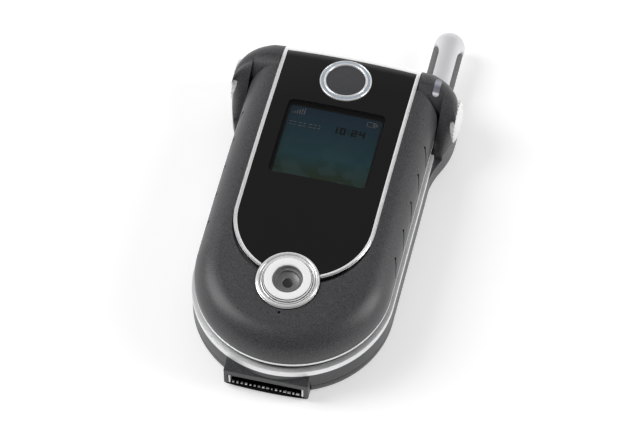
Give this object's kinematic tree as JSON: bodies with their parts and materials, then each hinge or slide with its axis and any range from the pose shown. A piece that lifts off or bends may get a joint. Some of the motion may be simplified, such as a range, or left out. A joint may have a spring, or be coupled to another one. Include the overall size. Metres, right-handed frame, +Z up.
{
  "type": "flip phone",
  "caption": "Clamshell mobile phone with a rounded free end, a hinged lid with window, outer display and camera, a keypad, a slide-off battery cover and a pull-out aerial.",
  "frame": {"origin": "centre of the flat back face that the closed phone rests on, midway between its sides", "axes": "+Z up through the closed lid, +Y towards the hinge and the aerial, +X to the right for someone who looks down on the lid with the hinge away from them"},
  "size_m": [0.062, 0.1159, 0.0245],
  "materials": {
    "charcoal_paint": "charcoal soft-sheen paint on moulded plastic shells",
    "black_plastic": "black moulded plastic",
    "black_window": "gloss black window with a clear display area",
    "clear_window": "clear window over the main display",
    "bright_trim": "bright plated trim",
    "silver_trim": "silver-painted plastic band",
    "badge_plate": "plain dark badge plate",
    "silver_metal": "spun silver disc",
    "lens_glass": "dark coated lens",
    "display_module": "display module",
    "board": "green circuit board",
    "dark_rubber": "dark rubber",
    "steel": "steel",
    "battery_wrap": "battery pack's wrap",
    "key_rubber": "keypad mat",
    "dark_caps": "painted plastic caps with a notched rim",
    "light_pipe": "pale light pipe",
    "silver_key": "silver keys",
    "nav_metal": "navigation ring",
    "silver_aerial": "silver-painted plastic aerial head",
    "brass_bush": "aerial bush",
    "gold_contacts": "gilt contacts"
  },
  "bodies": {
    "base": {"base_front_housing": "charcoal_paint", "base_band": "silver_trim", "base_rear_housing": "charcoal_paint", "battery_pack": "battery_wrap", "main_board": "board", "keypad_membrane": "key_rubber", "ear_caps": "dark_caps", "status_light": "light_pipe", "dock_connector": "black_plastic", "dock_contacts": "gold_contacts", "loudspeaker": "black_plastic", "vibration_motor": "steel", "base_screws": "steel", "antenna_bush": "brass_bush", "hinge_shaft": "steel", "hinge_pin": "steel"},
    "flip": {"flip_cover": "charcoal_paint", "flip_window": "black_window", "flip_trim": "bright_trim", "flip_edge_trim": "silver_trim", "badge_ring": "bright_trim", "badge_disc": "badge_plate", "camera_bezel": "bright_trim", "camera_ring": "silver_metal", "camera_module": "black_plastic", "camera_lens": "lens_glass", "outer_display": "display_module", "flip_bezel": "black_plastic", "inner_window": "clear_window", "inner_display": "display_module", "flip_board": "board", "earpiece": "black_plastic", "flip_bumpers": "dark_rubber", "flip_screws": "steel", "hinge_can": "steel"},
    "battery_cover": {"battery_cover": "charcoal_paint"},
    "battery_latch": {"battery_latch": "black_plastic"},
    "aerial": {"antenna_stub": "silver_aerial", "antenna_grips": "dark_rubber", "antenna_whip": "steel"},
    "key_1_body": {"key_1": "silver_key"},
    "key_2_body": {"key_2": "silver_key"},
    "key_3_body": {"key_3": "silver_key"},
    "key_4_body": {"key_4": "silver_key"},
    "key_5_body": {"key_5": "silver_key"},
    "key_6_body": {"key_6": "silver_key"},
    "key_7_body": {"key_7": "silver_key"},
    "key_8_body": {"key_8": "silver_key"},
    "key_9_body": {"key_9": "silver_key"},
    "star_key_body": {"star_key": "silver_key"},
    "key_0_body": {"key_0": "silver_key"},
    "hash_key_body": {"hash_key": "silver_key"},
    "left_soft_key_body": {"left_soft_key": "silver_key"},
    "right_soft_key_body": {"right_soft_key": "silver_key"},
    "send_key_body": {"send_key": "silver_key"},
    "end_key_body": {"end_key": "silver_key"},
    "clear_key_body": {"clear_key": "silver_key"},
    "nav_ring_body": {"nav_ring": "nav_metal"},
    "select_key_body": {"select_key": "nav_metal"},
    "volume_key_body": {"volume_key": "silver_key"}
  },
  "joints": [
    {"name": "flip_hinge", "type": "hinge", "parent": "base", "child": "flip", "pos_m": [0, 0.0402, 0.015], "axis": [-1, 0, 0], "range_deg": [0, 155]},
    {"name": "battery_cover_slide", "type": "slide", "parent": "base", "child": "battery_cover", "axis": [0, -1, 0], "range_m": [0, 0.006]},
    {"name": "latch_slide", "type": "slide", "parent": "base", "child": "battery_latch", "axis": [0, 1, 0], "range_m": [0, 0.0015], "stiffness_N_per_m": 300},
    {"name": "aerial_slide", "type": "slide", "parent": "base", "child": "aerial", "axis": [0, 1, 0], "range_m": [0, 0.045]},
    {"name": "key_1_press", "type": "slide", "parent": "base", "child": "key_1_body", "axis": [0, 0, -1], "range_m": [0, 0.0003], "stiffness_N_per_m": 800},
    {"name": "key_2_press", "type": "slide", "parent": "base", "child": "key_2_body", "axis": [0, 0, -1], "range_m": [0, 0.0003], "stiffness_N_per_m": 800},
    {"name": "key_3_press", "type": "slide", "parent": "base", "child": "key_3_body", "axis": [0, 0, -1], "range_m": [0, 0.0003], "stiffness_N_per_m": 800},
    {"name": "key_4_press", "type": "slide", "parent": "base", "child": "key_4_body", "axis": [0, 0, -1], "range_m": [0, 0.0003], "stiffness_N_per_m": 800},
    {"name": "key_5_press", "type": "slide", "parent": "base", "child": "key_5_body", "axis": [0, 0, -1], "range_m": [0, 0.0003], "stiffness_N_per_m": 800},
    {"name": "key_6_press", "type": "slide", "parent": "base", "child": "key_6_body", "axis": [0, 0, -1], "range_m": [0, 0.0003], "stiffness_N_per_m": 800},
    {"name": "key_7_press", "type": "slide", "parent": "base", "child": "key_7_body", "axis": [0, 0, -1], "range_m": [0, 0.0003], "stiffness_N_per_m": 800},
    {"name": "key_8_press", "type": "slide", "parent": "base", "child": "key_8_body", "axis": [0, 0, -1], "range_m": [0, 0.0003], "stiffness_N_per_m": 800},
    {"name": "key_9_press", "type": "slide", "parent": "base", "child": "key_9_body", "axis": [0, 0, -1], "range_m": [0, 0.0003], "stiffness_N_per_m": 800},
    {"name": "star_key_press", "type": "slide", "parent": "base", "child": "star_key_body", "axis": [0, 0, -1], "range_m": [0, 0.0003], "stiffness_N_per_m": 800},
    {"name": "key_0_press", "type": "slide", "parent": "base", "child": "key_0_body", "axis": [0, 0, -1], "range_m": [0, 0.0003], "stiffness_N_per_m": 800},
    {"name": "hash_key_press", "type": "slide", "parent": "base", "child": "hash_key_body", "axis": [0, 0, -1], "range_m": [0, 0.0003], "stiffness_N_per_m": 800},
    {"name": "left_soft_key_press", "type": "slide", "parent": "base", "child": "left_soft_key_body", "axis": [0, 0, -1], "range_m": [0, 0.0003], "stiffness_N_per_m": 800},
    {"name": "right_soft_key_press", "type": "slide", "parent": "base", "child": "right_soft_key_body", "axis": [0, 0, -1], "range_m": [0, 0.0003], "stiffness_N_per_m": 800},
    {"name": "send_key_press", "type": "slide", "parent": "base", "child": "send_key_body", "axis": [0, 0, -1], "range_m": [0, 0.0003], "stiffness_N_per_m": 800},
    {"name": "end_key_press", "type": "slide", "parent": "base", "child": "end_key_body", "axis": [0, 0, -1], "range_m": [0, 0.0003], "stiffness_N_per_m": 800},
    {"name": "clear_key_press", "type": "slide", "parent": "base", "child": "clear_key_body", "axis": [0, 0, -1], "range_m": [0, 0.0003], "stiffness_N_per_m": 800},
    {"name": "nav_ring_press", "type": "slide", "parent": "base", "child": "nav_ring_body", "axis": [0, 0, -1], "range_m": [0, 0.0003], "stiffness_N_per_m": 800},
    {"name": "select_key_press", "type": "slide", "parent": "base", "child": "select_key_body", "axis": [0, 0, -1], "range_m": [0, 0.0003], "stiffness_N_per_m": 800},
    {"name": "volume_rock", "type": "hinge", "parent": "base", "child": "volume_key_body", "pos_m": [-0.0246, 0.004, 0.007], "axis": [0, 0, 1], "range_deg": [-2, 2], "stiffness_Nm_per_rad": 0.15}
  ]
}
